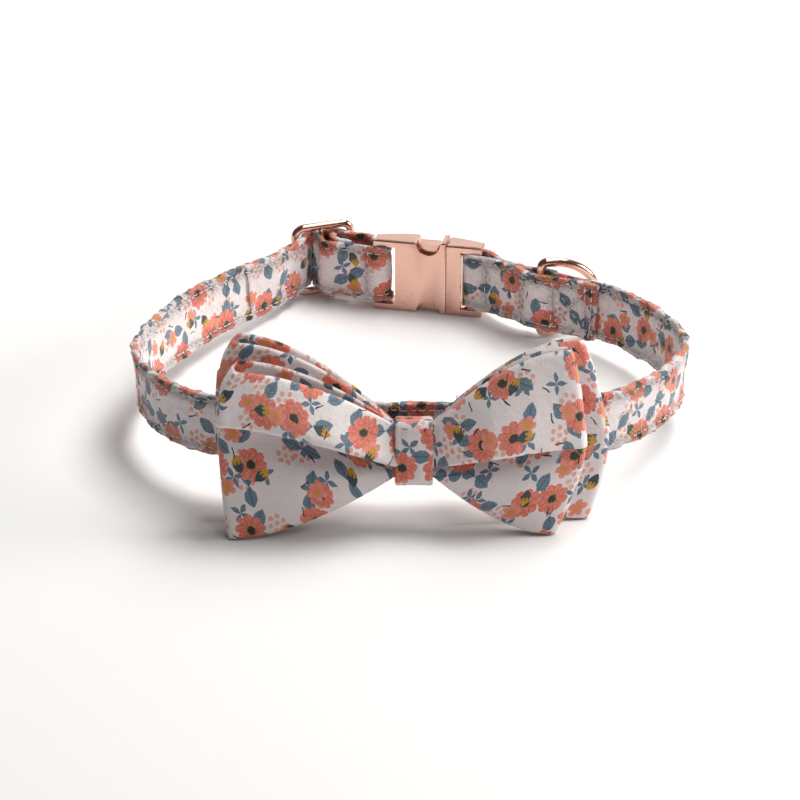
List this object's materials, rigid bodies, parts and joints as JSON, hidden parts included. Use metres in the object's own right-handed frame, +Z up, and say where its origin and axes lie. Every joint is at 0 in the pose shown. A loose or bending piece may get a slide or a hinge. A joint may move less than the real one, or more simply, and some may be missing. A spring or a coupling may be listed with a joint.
{
  "type": "pet bow tie collar",
  "caption": "Closed cotton pet collar standing on its edge, with a metal side release buckle, sliding adjuster, lead ring and a bow tie on its front.",
  "frame": {"origin": "middle of the footprint on the floor", "axes": "+Z up, bow towards -Y, buckle towards +Y, lead ring on the +X side"},
  "size_m": [0.1732, 0.1842, 0.0533],
  "materials": {
    "cotton": "fine woven cotton with a small floral print, slight sheen",
    "rose_gold": "polished rose gold plating on cast zinc and steel wire",
    "elastic": "knitted elastic, matt"
  },
  "bodies": {
    "collar": {"strap": "cotton", "buckle_female": "rose_gold", "buckle_male": "rose_gold", "adjuster": "rose_gold", "bow_front_loop": "cotton", "bow_back_loop": "cotton", "bow_knot": "cotton", "bow_keeper": "elastic"},
    "lead_ring": {"lead_ring": "rose_gold"}
  },
  "joints": [
    {"name": "lead_ring_swing", "type": "hinge", "parent": "collar", "child": "lead_ring", "pos_m": [0.04318, 0.04995, 0.01445], "axis": [0, 0, 1], "range_deg": [-10, 90]}
  ]
}
